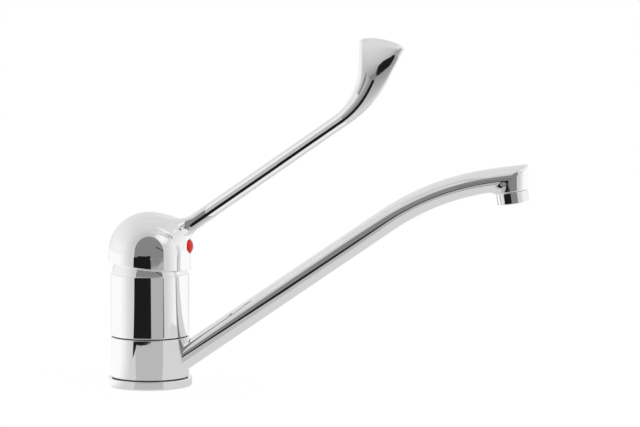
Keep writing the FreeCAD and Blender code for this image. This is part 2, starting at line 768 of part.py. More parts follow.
# The nose tapers down to the nozzle; its rounded top stands just proud of the arm's.
nose_cone = doc.addObject("Part::Cone", "nose_cone")
bind(nose_cone, "Radius1", "nozzle_radius")
bind(nose_cone, "Radius2", "nose_radius")
bind(nose_cone, "Height", "arm_over_outlet + arm_half_height + tool_overrun - shell_height")
on_outlet_axis(nose_cone, "shell_height")
tilt = size("outlet_tilt")
roof_start = point(over_outlet("arm_over_outlet")) - heading(tilt) * (2 * size("nose_radius"))
roof = doc.addObject("Part::Extrusion", "nose_roof")
roof.Base = oval("nose_roof_oval", "nose_radius", "arm_half_height + nose_proud", roof_start, tilt)
roof.DirMode = "Custom"
roof.Dir = heading(tilt)
bind(roof, "LengthFwd", "4 * nose_radius")
roof.Solid = True
cheeks = block("nose_cheeks", ("4 * nose_radius", "4 * nose_radius", "arm_over_outlet"),
               ("outlet_x - 2 * nose_radius * cos(outlet_tilt)", "-2 * nose_radius",
                "outlet_height - 2 * nose_radius * sin(outlet_tilt)"), Y_AXIS, -tilt)
nose = shared("nose", nose_cone, fused("nose_mould", [roof, cheeks]))

spout_cuts = [
    round_bar("collar_bore", "spigot_radius + running_gap", "collar_top + base_height", CENTRED),
    ring("collar_gallery", "spigot_radius", "spigot_radius + gallery_depth", "gallery_low",
         "gallery_high"),
    along_x("arm_feed", "arm_feed_radius", "arm_bore_start + arm_feed_radius - spigot_radius",
            ("spigot_radius", "0", "arm_feed_height")),
    oval_arm("arm_bore", "arm_bore_start", "arm_half_width - arm_wall", "arm_half_height - arm_wall"),
    on_outlet_axis(round_bar("nozzle_thread", "nozzle_thread_radius", "nozzle_thread_depth", CENTRED),
                   "shell_height"),
    on_outlet_axis(round_bar("nozzle_way", "nozzle_bore", "arm_over_outlet - shell_height", CENTRED),
                   "shell_height"),
]
node(bored("spout_cut", fused("spout_outside", [collar, arm, nose]), spout_cuts), "spout")

# Aerator: shell with a thread stub, jet former, strainer and washer, on the outlet's axis.
node(on_outlet_axis(turned("shell", [
    ("shell_lip_bore", "0"),
    ("shell_bottom_radius", "0"),
    ("nozzle_radius", "shell_height"),
    ("shell_thread_radius", "shell_height"),
    ("shell_thread_radius", "shell_thread_top"),
    ("shell_bore", "shell_thread_top"),
    ("shell_bore", "shell_lip_height"),
    ("shell_lip_bore", "shell_lip_height"),
])), "aerator_shell")


HOLE_RINGS = 3
HOLES_PER_STEP = 6


def perforated(label, bottom, top, hole_radius, ring_step):
    """Round plate with one middle hole and rings of holes round it."""
    thickness = "(%s) - (%s)" % (top, bottom)
    plate = round_bar(label + "_plate", "insert_radius", thickness, ("0", "0", bottom))
    holes = []
    for circle in range(HOLE_RINGS + 1):
        count = max(HOLES_PER_STEP * circle, 1)
        for index in range(count):
            angle = 360.0 * index / count
            centre = ("%d * %s * cos(%f)" % (circle, ring_step, angle),
                      "%d * %s * sin(%f)" % (circle, ring_step, angle), bottom)
            name = "%s_hole_%d_%d" % (label, circle, index)
            holes.append(round_bar(name, hole_radius, thickness, centre))
    return on_outlet_axis(bored(label, plate, holes))


node(perforated("jets", "insert_bottom", "insert_top", "jet_radius", "jet_ring"), "aerator_insert")
SCREEN_TOP = "insert_top + screen_thickness"
node(perforated("strainer", "insert_top", SCREEN_TOP, "screen_hole", "screen_ring"), "aerator_screen")
node(on_outlet_axis(ring("washer", "washer_bore", "shell_thread_radius", "shell_thread_top",
                         "washer_top")), "aerator_washer")

doc.recompute()
failed = [thing.Label for thing in doc.Objects if {"Invalid", "Error"} & set(thing.State)]
if failed:
    raise RuntimeError("these did not build: " + ", ".join(failed))
for thing in nodes:
    if thing.Shape.isNull() or not thing.Shape.isValid() or thing.Shape.Volume <= 0:
        raise RuntimeError("no valid solid in " + thing.Label)
os.makedirs("parts", exist_ok=True)
for thing in nodes:
    thing.Shape.exportStep("parts/%s.step" % thing.Label)
    volume = thing.Shape.Volume / 1000
    print("%-22s %8.2f cm3 in %d solid(s)" % (thing.Label, volume, len(thing.Shape.Solids)))
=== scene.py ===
import math

import bmesh
import bpy
import numpy as np
from mathutils import Matrix, Vector


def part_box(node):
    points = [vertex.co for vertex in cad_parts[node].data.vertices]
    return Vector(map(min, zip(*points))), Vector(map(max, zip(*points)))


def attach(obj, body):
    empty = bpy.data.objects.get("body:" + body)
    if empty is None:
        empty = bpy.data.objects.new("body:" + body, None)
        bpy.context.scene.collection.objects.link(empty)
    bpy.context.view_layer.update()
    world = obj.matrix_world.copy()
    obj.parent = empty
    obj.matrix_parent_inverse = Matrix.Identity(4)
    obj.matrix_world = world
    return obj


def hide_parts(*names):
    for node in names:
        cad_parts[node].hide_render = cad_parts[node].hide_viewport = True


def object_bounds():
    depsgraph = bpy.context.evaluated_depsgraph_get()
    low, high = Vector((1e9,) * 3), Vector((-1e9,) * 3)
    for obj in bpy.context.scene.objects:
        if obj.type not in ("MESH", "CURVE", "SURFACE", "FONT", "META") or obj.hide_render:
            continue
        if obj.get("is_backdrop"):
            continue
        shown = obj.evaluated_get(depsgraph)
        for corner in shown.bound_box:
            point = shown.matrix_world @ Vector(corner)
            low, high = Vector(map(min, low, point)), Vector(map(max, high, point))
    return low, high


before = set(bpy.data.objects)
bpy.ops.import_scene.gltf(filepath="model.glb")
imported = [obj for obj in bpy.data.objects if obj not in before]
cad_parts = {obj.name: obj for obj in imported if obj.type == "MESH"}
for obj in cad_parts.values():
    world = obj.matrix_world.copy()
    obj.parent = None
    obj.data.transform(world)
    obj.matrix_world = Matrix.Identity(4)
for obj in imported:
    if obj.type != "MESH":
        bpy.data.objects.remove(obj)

scene = bpy.context.scene
scene.view_settings.view_transform = "Standard"
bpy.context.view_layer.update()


# Foot gasket: a flat ring of black nitrile rubber, compression moulded.
# It lies in the recess under the flange and seals the tap against the basin.
def clouds(tree, where, scale, detail):
    """Noise on a piece's own coordinates; scale is in cells to the metre."""
    noise = tree.nodes.new("ShaderNodeTexNoise")
    noise.inputs["Scale"].default_value = scale
    noise.inputs["Detail"].default_value = detail
    tree.links.new(where, noise.inputs["Vector"])
    return noise.outputs["Fac"]


def spread_over(tree, value, low, high):
    """Noise stretched between two levels."""
    ramp = tree.nodes.new("ShaderNodeMapRange")
    ramp.inputs["From Min"].default_value = 0.3
    ramp.inputs["From Max"].default_value = 0.7
    ramp.inputs["To Min"].default_value = low
    ramp.inputs["To Max"].default_value = high
    tree.links.new(value, ramp.inputs["Value"])
    return ramp.outputs["Result"]


def tinted(tree, noise, dark, light):
    """Base colour that drifts between two shades with a noise."""
    tint = tree.nodes.new("ShaderNodeMix")
    tint.data_type = "RGBA"
    tint.inputs["A"].default_value = (*dark, 1)
    tint.inputs["B"].default_value = (*light, 1)
    tree.links.new(noise, tint.inputs["Factor"])
    tree.links.new(tint.outputs["Result"], tree.nodes["Principled BSDF"].inputs["Base Color"])


def embossed(tree, noise, depth, strength=1.0):
    """Fine relief that follows a noise; depth is in metres."""
    bump = tree.nodes.new("ShaderNodeBump")
    bump.inputs["Strength"].default_value = strength
    bump.inputs["Distance"].default_value = depth
    tree.links.new(noise, bump.inputs["Height"])
    tree.links.new(bump.outputs["Normal"], tree.nodes["Principled BSDF"].inputs["Normal"])


def finish(name, colour, roughness, metallic=0.0, mottle=0.08, uneven=0.25, cell=0.004, relief=0.00002):
    """Finish with clouded colour, uneven gloss and a fine relief. Cell and relief are in metres."""
    material = bpy.data.materials.new(name)
    material.use_nodes = True
    tree = material.node_tree
    shader = tree.nodes["Principled BSDF"]
    shader.inputs["Metallic"].default_value = metallic
    where = tree.nodes.new("ShaderNodeTexCoord").outputs["Object"]
    broad = clouds(tree, where, 1 / cell, 3)
    fine = clouds(tree, where, 6 / cell, 5)
    dark = [channel * (1 - mottle) for channel in colour]
    light = [min(channel * (1 + mottle), 1) for channel in colour]
    tinted(tree, broad, dark, light)
    gloss = spread_over(tree, fine, roughness * (1 - uneven), roughness * (1 + uneven))
    tree.links.new(gloss, shader.inputs["Roughness"])
    embossed(tree, fine, relief)
    return material


def dress(node, material):
    """Give a carried-over solid its finish."""
    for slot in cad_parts[node].material_slots:
        slot.material = material


black_rubber = finish("black_rubber", (0.028, 0.028, 0.03), 0.62, mottle=0.2, cell=0.0015)
dress("base_gasket", black_rubber)


# Base flange: a low ring turned from brass bar and chromed, with a small chamfer at its foot.
# It screws onto the foot of the body and carries the swivel collar on its flat top.
MM = 0.001


def chrome_plate():
    """Bright polished chrome: a mirror with faint wipe haze and a very slight unevenness of the polish."""
    material = bpy.data.materials.new("chrome_plate")
    material.use_nodes = True
    tree = material.node_tree
    shader = tree.nodes["Principled BSDF"]
    shader.inputs["Metallic"].default_value = 1.0
    where = tree.nodes.new("ShaderNodeTexCoord").outputs["Object"]
    haze = clouds(tree, where, 45, 4)
    tinted(tree, haze, (0.905, 0.91, 0.915), (0.93, 0.93, 0.93))
    wiped = clouds(tree, where, 160, 6)
    tree.links.new(spread_over(tree, wiped, 0.015, 0.05), shader.inputs["Roughness"])
    polish = clouds(tree, where, 70, 2)
    embossed(tree, polish, 0.00001, strength=0.3)
    return material


def rounded(outline, steps=6):
    """Outline of (radius, height, edge radius) with arcs at its corners, each between two guard points."""
    points = []
    for index, (radius, height, edge) in enumerate(outline):
        here = Vector((radius, height))
        if edge == 0:
            points.append(here)
            continue
        back = (Vector(outline[index - 1][:2]) - here).normalized()
        ahead = (Vector(outline[(index + 1) % len(outline)][:2]) - here).normalized()
        half = back.angle(ahead) / 2
        reach = edge / math.tan(half)
        centre = here + (back + ahead).normalized() * (edge / math.sin(half))
        first = here + back * reach - centre
        turn = first.angle_signed(here + ahead * reach - centre)
        points.append(here + back * (reach + edge / 4))
        for step in range(steps + 1):
            points.append(centre + Matrix.Rotation(-turn * step / steps, 2) @ first)
        points.append(here + ahead * (reach + edge / 4))
    return points


def skin(name, rows, ring=False, sharp=35):
    """Mesh over loops of points in millimetres; a ring joins its last loop to its first."""
    rows = np.asarray(rows, float)
    count, around = rows.shape[:2]
    form = bmesh.new()
    grid = [[form.verts.new(Vector(spot) * MM) for spot in row] for row in rows]
    for index in range(count if ring else count - 1):
        near = grid[index]
        far = grid[(index + 1) % count]
        for column in range(around):
            beside = (column + 1) % around
            form.faces.new((near[column], near[beside], far[beside], far[column]))
    for loop in (() if ring else (grid[0], grid[-1])):
        if (loop[0].co - loop[around // 2].co).length > MM / 100:
            form.faces.new(loop)
    bmesh.ops.remove_doubles(form, verts=form.verts, dist=MM / 1000)
    bmesh.ops.recalc_face_normals(form, faces=form.faces)
    mesh = bpy.data.meshes.new(name)
    form.to_mesh(mesh)
    form.free()
    mesh.shade_smooth()
    mesh.set_sharp_from_angle(angle=math.radians(sharp))
    return mesh


def turned(name, outline, around=224):
    """Lathe work about Z: a closed outline, or one whose two ends lie on the axis."""
    open_ended = outline[0][0] == 0 and outline[-1][0] == 0
    rows = []
    for radius, height in rounded(outline):
        angles = np.linspace(0, 2 * math.pi, around, endpoint=False)
        level = np.full(around, height)
        rows.append(np.stack([radius * np.cos(angles), radius * np.sin(angles), level], axis=1))
    return skin(name, rows, ring=not open_ended)


def piece(name, mesh, material, body, slot, *nodes):
    """Enter a finished mesh as a piece that rides on a body and stands for its solids."""
    shown = bpy.data.objects.new(name, mesh)
    scene.collection.objects.link(shown)
    mesh.materials.clear()
    mesh.materials.append(material)
    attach(shown, body)
    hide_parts(*nodes)
    return shown


chrome = chrome_plate()
base_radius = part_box("base_flange")[1].x / MM
base_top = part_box("base_flange")[1].z / MM
spigot_radius = 17.42
gasket_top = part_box("base_gasket")[1].z / MM
gasket_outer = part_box("base_gasket")[1].x / MM
gasket_inner = 19.0
flange_bore = spigot_radius + 0.05
foot_chamfer = 0.8
broken_edge = 0.1
polished_edge = 0.45
flange = turned("base_flange", [
    (flange_bore, 0, broken_edge),
    (gasket_inner, 0, broken_edge),
    (gasket_inner, gasket_top, broken_edge),
    (gasket_outer, gasket_top, broken_edge),
    (gasket_outer, 0, broken_edge),
    (base_radius - foot_chamfer / 2, 0, broken_edge),
    (base_radius, foot_chamfer, 0.3),
    (base_radius, base_top, polished_edge),
    (flange_bore, base_top, broken_edge),
])
piece("base_flange_chrome", flange, chrome, "body", "chrome", "base_flange")


# Glide rings: two thin rings of dark grey acetal, die cut from sheet.
# One under and one over the spout collar let it turn without metal rubbing on metal.
dark_acetal = finish("dark_acetal", (0.07, 0.07, 0.075), 0.5, mottle=0.1, cell=0.002)
for level in ("lower", "upper"):
    dress(level + "_glide_ring", dark_acetal)


# Mixer body: brass casting, turned, polished and chromed outside. A thin spigot goes down through the
# spout collar; the wide sleeve above it holds the cartridge, and the ports come up through its floor.
def drill(radius, bottom, length, x=0.0, y=0.0, sideways=False):
    """Round cutter from a height upwards, or along +X when sideways, as an object for worked()."""
    tool = bpy.data.meshes.new("drill")
    form = bmesh.new()
    turn = Matrix.Rotation(math.radians(90), 4, "Y") if sideways else Matrix.Identity(4)
    lift = Matrix.Translation((0, 0, length / 2 * MM))
    seat = Matrix.Translation(Vector((x, y, bottom)) * MM)
    bmesh.ops.create_cone(form, cap_ends=True, segments=48, radius1=radius * MM, radius2=radius * MM,
                          depth=length * MM, matrix=seat @ turn @ lift)
    form.to_mesh(tool)
    form.free()
    cutter = bpy.data.objects.new("drill", tool)
    scene.collection.objects.link(cutter)
    return cutter


def worked(mesh, operation, others, sharp):
    """Mesh with other objects joined to it or cut out of it; the other objects are used up."""
    blank = bpy.data.objects.new("blank", mesh)
    scene.collection.objects.link(blank)
    for other in others:
        step = blank.modifiers.new("step", "BOOLEAN")
        step.operation = operation
        step.solver = "EXACT"
        step.object = other
    graph = bpy.context.evaluated_depsgraph_get()
    result = bpy.data.meshes.new_from_object(blank.evaluated_get(graph))
    for used in [blank, *others]:
        worn = used.data
        bpy.data.objects.remove(used)
        bpy.data.meshes.remove(worn)
    result.shade_smooth()
    result.set_sharp_from_angle(angle=math.radians(sharp))
    return result


body_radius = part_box("mixer_body")[1].x / MM
body_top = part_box("mixer_body")[1].z / MM
body_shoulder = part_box("upper_glide_ring")[1].z / MM
chamber_radius = 17.65
chamber_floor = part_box("cartridge_base")[0].z / MM
chamber_edge = 0.2
groove_floor = spigot_radius - 1.95
gallery_floor = spigot_radius - 2.2
lower_groove = (9.1, 11.7, groove_floor)
gallery = (14.5, 21.5, gallery_floor)
upper_groove = (24.9, 27.5, groove_floor)
body_outline = [(0, 0, 0), (spigot_radius, 0, 0.3)]
for low, high, floor in (lower_groove, gallery, upper_groove):
    for radius, height in ((spigot_radius, low), (floor, low), (floor, high), (spigot_radius, high)):
        body_outline.append((radius, height, broken_edge))
body_outline += [
    (spigot_radius, body_shoulder, broken_edge),
    (body_radius, body_shoulder, polished_edge),
    (body_radius, body_top, polished_edge),
    (chamber_radius, body_top, chamber_edge),
    (chamber_radius, chamber_floor, chamber_edge),
    (0, chamber_floor, 0),
]
port_radius = 3.0
overrun = 1.0
stud_radius = 3.4
stud_depth = 11.0
stud_x = -9.0
outlet_port_x = -8.5
outlet_port_bottom = 15.0
gallery_port_radius = 2.8
gallery_port_height = 18.0
inlet_radius = 4.46
inlet_depth = 12.0
inlet_x = 3.5
inlet_y = 7.5
ports = [
    drill(stud_radius, -overrun, stud_depth + overrun, x=stud_x),
    drill(port_radius, outlet_port_bottom, chamber_floor, x=outlet_port_x),
    drill(gallery_port_radius, gallery_port_height, spigot_radius + outlet_port_x + overrun,
          x=-spigot_radius - overrun, sideways=True),
]
for side in (-1, 1):
    ports.append(drill(inlet_radius, -overrun, inlet_depth + overrun, x=inlet_x, y=inlet_y * side))
    ports.append(drill(port_radius, overrun, chamber_floor + overrun, x=inlet_x, y=inlet_y * side))
body_mesh = worked(turned("mixer_body", body_outline), "DIFFERENCE", ports, sharp=35)
piece("mixer_body_chrome", body_mesh, chrome, "body", "chrome", "mixer_body")


# Spout seals: two nitrile O-rings in the grooves of the spigot.
# They keep the water in the gallery while the collar turns round them.
for level in ("lower", "upper"):
    dress(level + "_spout_oring", black_rubber)


# Spout: brass collar and oval arm cast in one, with the nose that carries the aerator.
# It is polished and chromed outside, and turns on the spigot between the two glide rings.
def smooth_min(first, second, reach):
    """Union of two fields with a fillet about as large as the reach."""
    near = np.clip(reach - np.abs(first - second), 0, None) / reach
    return np.minimum(first, second) - near ** 2 * reach / 4


def smooth_max(first, second, reach):
    """Intersection of two fields with a rounded edge."""
    return -smooth_min(-first, -second, reach)


def soft_step(value):
    """Smooth rise from 0 to 1."""
    value = np.clip(value, 0, 1)
    return value * value * (3 - 2 * value)


def cast_rays(field, origin, direction, far):
    """Points where rays that start inside a field's form come out of it, by halving."""
    low = np.zeros(direction.shape[:-1])
    high = np.full(direction.shape[:-1], float(far))
    for _ in range(36):
        middle = (low + high) / 2
        outside = field(origin + direction * middle[..., None]) > 0
        high = np.where(outside, middle, high)
        low = np.where(outside, low, middle)
    return origin + direction * low[..., None]


arm_slope = math.radians(34.45)
arm_rise = 2.95
arm_half_height = 7.5
arm_half_width = 9.8
arm_power = 3.2
nose_power = 1.9
arm_bend_radius = 155.0
outlet = np.array([224.0, 0, 116.1])
outlet_tilt = math.radians(8.2)
arm_over_outlet = 14.8
nozzle_radius = 9.8
nose_taper = 0.139
shell_height = 7.2
nose_lip = 0.5
roof_edge = 2.0
nose_fillet = 5.0
ahead = np.array([math.cos(outlet_tilt), 0, math.sin(outlet_tilt)])
above = np.array([-math.sin(outlet_tilt), 0, math.cos(outlet_tilt)])
across = np.array([0, 1.0, 0])

arm_end = outlet + above * arm_over_outlet
knee_x = arm_end[2] - arm_end[0] * math.tan(outlet_tilt) - arm_rise
knee_x /= math.tan(arm_slope) - math.tan(outlet_tilt)
knee = np.array([knee_x, 0, arm_rise + knee_x * math.tan(arm_slope)])
knee_reach = arm_bend_radius * math.tan((arm_slope - outlet_tilt) / 2)
last_run = np.linalg.norm(arm_end - knee) - knee_reach
bend_run = arm_bend_radius * (arm_slope - outlet_tilt)


def arm_course(back):
    """Point and slope of the arm's centre line, at a distance back from the outlet's axis."""
    bent = min(max(back - last_run, 0), bend_run)
    slope = outlet_tilt + bent / arm_bend_radius
    spot = arm_end - ahead * min(back, last_run)
    spot = spot - arm_bend_radius * np.array([math.sin(slope) - math.sin(outlet_tilt), 0,
                                              math.cos(outlet_tilt) - math.cos(slope)])
    beyond = max(back - last_run - bend_run, 0)
    return spot - beyond * np.array([math.cos(slope), 0, math.sin(slope)]), slope


def rounded_bar(aside, level, half_width, half_height, power):
    """Field of a bar, flatter at its sides for a higher power: below zero inside, else about millimetres."""
    flat = (aside / half_width) ** power + (level / half_height) ** 2
    steep = np.hypot(power * (aside / half_width) ** (power - 1) / half_width, 2 * level / half_height ** 2)
    return 2 * (flat - np.sqrt(flat)) / np.maximum(steep, 0.05)


def nose_field(spots):
    """Arm and nose over the outlet: the roof goes on from the arm, and the nose is filleted under it."""
    along = (spots - outlet) @ ahead
    aside = np.abs(spots[..., 1])
    height = (spots - outlet) @ above
    middle = arm_over_outlet - np.clip(-last_run - along, 0, None) ** 2 / (2 * arm_bend_radius)
    level = height - middle
    arm = rounded_bar(aside, level, arm_half_width, arm_half_height, nose_power)
    flare = 1 + nose_taper * (height - shell_height) / nozzle_radius
    cone = np.hypot(np.where(along > 0, along / flare, along), aside) - nozzle_radius
    roof = np.where(level > 0, arm, aside - arm_half_width)
    nose = smooth_max(cone, roof, 0.02 + roof_edge * soft_step(along / 8))
    nose = smooth_max(nose, shell_height - height, nose_lip)
    fillet = 0.05 + nose_fillet * soft_step((1 - level) / 6) * soft_step(-along / 5)
    return smooth_min(np.maximum(arm, along), nose, fillet)


def even_steps(half, count):
    """Curve given by many points, as a given number of points evenly spaced along it."""
    length = np.concatenate([[0], np.cumsum(np.linalg.norm(np.diff(half, axis=0), axis=1))])
    places = np.linspace(0, length[-1], count)
    return np.stack([np.interp(places, length, half[:, axis]) for axis in range(3)], axis=1)


half_columns = 97
fan = math.pi * soft_step(np.linspace(0, 1, 500))


def nose_half(origin, up, outward):
    """Half section of the nose, from its roof down to its floor."""
    direction = np.cos(fan)[:, None] * up + np.sin(fan)[:, None] * outward
    return even_steps(cast_rays(nose_field, origin, direction, 40), half_columns)


def loop_of(right, left):
    """Closed loop from two halves that share their ends."""
    return np.concatenate([right, left[-2:0:-1]])


spout_rows = []
nose_reach = 24.0
root_start = 12.0
round_until = 50.0
flattened_over = 60.0
arm_length = last_run + bend_run + (knee[0] - root_start) / math.cos(arm_slope) - knee_reach
for back in np.linspace(arm_length, nose_reach, 220, endpoint=False):
    centre, slope = arm_course(back)
    up = np.array([-math.sin(slope), 0, math.cos(slope)])
    power = nose_power + (arm_power - nose_power) * soft_step((back - round_until) / flattened_over)
    halves = []
    for side in (1, -1):
        oval_half = (centre + up * (arm_half_height * np.cos(fan))[:, None]
                     + across * (side * arm_half_width * np.sin(fan) ** (2 / power))[:, None])
        halves.append(even_steps(oval_half, half_columns))
    spout_rows.append(loop_of(*halves))
nose_drop = 1.8
for back in np.linspace(nose_reach, 0, 60, endpoint=False):
    centre, slope = arm_course(back)
    up = np.array([-math.sin(slope), 0, math.cos(slope)])
    origin = centre - above * nose_drop * soft_step(1 - back / nose_reach)
    spout_rows.append(loop_of(nose_half(origin, up, across), nose_half(origin, up, -across)))
for turn in np.linspace(0, math.pi / 2, 48):
    origin = arm_end - above * nose_drop
    outward = across * math.cos(turn) + ahead * math.sin(turn)
    mirrored = -across * math.cos(turn) + ahead * math.sin(turn)
    spout_rows.append(loop_of(nose_half(origin, above, outward), nose_half(origin, above, mirrored)))

# The arm's root ends inside the wall of the collar, so that the bore stays clear.
root_radius = 20.8
root_row_gap = 3.0
run = np.array([math.cos(arm_slope), 0, math.sin(arm_slope)])
for spot in spout_rows[0]:
    room = math.sqrt(root_radius ** 2 - spot[1] ** 2)
    spot += run * (room - spot[0]) / run[0]
while spout_rows[1][:, 0].min() < root_radius + root_row_gap:
    del spout_rows[1]

collar_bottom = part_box("lower_glide_ring")[1].z / MM + 0.1
collar_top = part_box("upper_glide_ring")[0].z / MM - 0.1
collar_bore = spigot_radius + 0.08
collar_edge = 0.35
collar_mesh = turned("collar", [
    (collar_bore, collar_bottom, 0.2),
    (body_radius, collar_bottom, collar_edge),
    (body_radius, collar_top, collar_edge),
    (collar_bore, collar_top, 0.2),
], around=320)
arm_blank = bpy.data.objects.new("arm_blank", skin("arm", spout_rows, sharp=60))
scene.collection.objects.link(arm_blank)
spout_mesh = worked(collar_mesh, "UNION", [arm_blank], sharp=50)
piece("spout_chrome", spout_mesh, chrome, "spout", "chrome", "spout")


# Aerator: a chromed brass shell screwed into the nose, with an acetal jet former, a fine stainless
# strainer over it and a rubber washer on top, all held by the lip at the shell's mouth.
outlet_seat = Matrix.Translation(Vector(outlet) * MM) @ Matrix.Rotation(-outlet_tilt, 4, "Y")
mouth_radius = 6.4
mouth_lip = 1.0
shell_foot_radius = 9.6
shell_shoulder = shell_height - 0.15
shell_thread_radius = 8.45
shell_top = 12.0
shell_bore = 7.1
shell_edge = 0.2
shell_mesh = turned("aerator_shell", [
    (mouth_radius, 0, shell_edge),
    (shell_foot_radius, 0, 0.5),
    (nozzle_radius, shell_shoulder, 0.35),
    (shell_thread_radius, shell_shoulder, broken_edge),
    (shell_thread_radius, shell_top, shell_edge),
    (shell_bore, shell_top, shell_edge),
    (shell_bore, mouth_lip, broken_edge),
    (mouth_radius, mouth_lip, broken_edge),
], around=160)
shell_mesh.transform(outlet_seat)
piece("aerator_shell_chrome", shell_mesh, chrome, "spout", "chrome", "aerator_shell")


def perforating():
    """Geometry nodes for a round plate with one middle hole and three rings of holes."""
    tree = bpy.data.node_groups.new("perforated_plate", "GeometryNodeTree")
    add = tree.nodes.new
    link = tree.links.new
    inputs = {}
    for label in ("plate radius", "plate bottom", "plate top", "hole radius", "ring step"):
        socket = tree.interface.new_socket(label, in_out="INPUT", socket_type="NodeSocketFloat")
        inputs[label] = socket.identifier
    finish_socket = tree.interface.new_socket("finish", in_out="INPUT", socket_type="NodeSocketMaterial")
    inputs["finish"] = finish_socket.identifier
    tree.interface.new_socket("plate", in_out="OUTPUT", socket_type="NodeSocketGeometry")
    given = add("NodeGroupInput")
    result = add("NodeGroupOutput")

    def maths(operation, first, second):
        node = add("ShaderNodeMath")
        node.operation = operation
        for slot, value in zip(node.inputs, (first, second)):
            if isinstance(value, (int, float)):
                slot.default_value = value
            else:
                link(value, slot)
        return node.outputs[0]

    def bar(radius, length, sides):
        node = add("GeometryNodeMeshCylinder")
        node.inputs["Vertices"].default_value = sides
        link(radius, node.inputs["Radius"])
        link(length, node.inputs["Depth"])
        return node.outputs["Mesh"]

    top = given.outputs["plate top"]
    bottom = given.outputs["plate bottom"]
    thickness = maths("SUBTRACT", top, bottom)
    middle = maths("MULTIPLY", maths("ADD", top, bottom), 0.5)
    plate = bar(given.outputs["plate radius"], thickness, 96)
    cutter = bar(given.outputs["hole radius"], maths("MULTIPLY", thickness, 1.5), 16)
    spots = add("GeometryNodeJoinGeometry")
    first_spot = add("GeometryNodePoints")
    first_spot.inputs["Count"].default_value = 1
    link(first_spot.outputs["Points"], spots.inputs["Geometry"])
    for circle in (1, 2, 3):
        loop = add("GeometryNodeMeshCircle")
        loop.inputs["Vertices"].default_value = 6 * circle
        link(maths("MULTIPLY", given.outputs["ring step"], circle), loop.inputs["Radius"])
        as_points = add("GeometryNodeMeshToPoints")
        link(loop.outputs["Mesh"], as_points.inputs["Mesh"])
        link(as_points.outputs["Points"], spots.inputs["Geometry"])
    drills = add("GeometryNodeInstanceOnPoints")
    link(spots.outputs["Geometry"], drills.inputs["Points"])
    link(cutter, drills.inputs["Instance"])
    real = add("GeometryNodeRealizeInstances")
    link(drills.outputs["Instances"], real.inputs["Geometry"])
    cut = add("GeometryNodeMeshBoolean")
    cut.operation = "DIFFERENCE"
    link(plate, cut.inputs["Mesh 1"])
    link(real.outputs["Geometry"], cut.inputs["Mesh 2"])
    lift = add("GeometryNodeTransform")
    height = add("ShaderNodeCombineXYZ")
    link(middle, height.inputs["Z"])
    link(cut.outputs["Mesh"], lift.inputs["Geometry"])
    link(height.outputs["Vector"], lift.inputs["Translation"])
    whole = add("GeometryNodeRealizeInstances")
    link(lift.outputs["Geometry"], whole.inputs["Geometry"])
    painted = add("GeometryNodeSetMaterial")
    link(whole.outputs["Geometry"], painted.inputs["Geometry"])
    link(given.outputs["finish"], painted.inputs["Material"])
    link(painted.outputs["Geometry"], result.inputs["plate"])
    return tree, inputs


plate_tree, plate_inputs = perforating()


def perforated(name, values, material):
    """Plate made by the perforating tree, as a plain mesh on the outlet's axis."""
    blank = bpy.data.objects.new(name, bpy.data.meshes.new(name))
    scene.collection.objects.link(blank)
    maker = blank.modifiers.new("perforating", "NODES")
    maker.node_group = plate_tree
    for label, value in values.items():
        maker[plate_inputs[label]] = value * MM
    maker[plate_inputs["finish"]] = material
    graph = bpy.context.evaluated_depsgraph_get()
    mesh = bpy.data.meshes.new_from_object(blank.evaluated_get(graph))
    bpy.data.objects.remove(blank)
    mesh.transform(outlet_seat)
    mesh.shade_smooth()
    mesh.set_sharp_from_angle(angle=math.radians(35))
    return mesh


white_acetal = finish("white_acetal", (0.8, 0.8, 0.76), 0.42, mottle=0.04, cell=0.002)
drawn_steel = finish("drawn_steel", (0.6, 0.6, 0.6), 0.3, metallic=1.0, mottle=0.06, cell=0.001)
plate_radius = 7.0
insert_top = 8.4
screen_top = 8.9
insert_values = {"plate radius": plate_radius, "plate bottom": mouth_lip, "plate top": insert_top,
                 "hole radius": 0.55, "ring step": 1.75}
screen_values = {"plate radius": plate_radius, "plate bottom": insert_top, "plate top": screen_top,
                 "hole radius": 0.5, "ring step": 1.65}
piece("aerator_jet_former", perforated("aerator_insert", insert_values, white_acetal), white_acetal,
      "spout", "white_plastic", "aerator_insert")
piece("aerator_strainer", perforated("aerator_screen", screen_values, drawn_steel), drawn_steel,
      "spout", "stainless_steel", "aerator_screen")
dress("aerator_washer", black_rubber)


# Cartridge: acetal base and housing round two lapped alumina discs, with rubber seals under the ports.
# The brass stem rocks on a steel pin in the rotor and pushes the disc carrier with its ball.
grey_acetal = finish("grey_acetal", (0.16, 0.16, 0.17), 0.4, cell=0.002)
lapped_alumina = finish("lapped_alumina", (0.84, 0.82, 0.78), 0.18, mottle=0.03, cell=0.0008,
                        relief=0.000004)
turned_brass = finish("turned_brass", (0.72, 0.53, 0.26), 0.3, metallic=1.0, mottle=0.07, cell=0.0012)
for node in ("cartridge_base", "cartridge_housing"):
    dress(node, grey_acetal)
for node in ("stem_rotor", "disc_carrier"):
    dress(node, white_acetal)
for node in ("fixed_ceramic_disc", "moving_ceramic_disc"):
    dress(node, lapped_alumina)
dress("inlet_seals", black_rubber)
dress("cartridge_stem", turned_brass)
dress("pivot_pin", drawn_steel)


# Cartridge nut: brass hexagon nut with a flange, turned and milled.
# It screws into the mouth of the body, holds the cartridge down and grips the cover ring's lip.
dress("cartridge_nut", turned_brass)


# Cover ring: a thin spherical collar, drawn from brass sheet and chromed.
# It closes the gap between body and handle, and the handle's rim swings over it.
pivot_height = 66.0
cover_radius = 23.8
cover_wall = 1.2
cover_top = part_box("cover_ring")[1].z / MM
lip_top = 71.0
lip_bore = 18.0


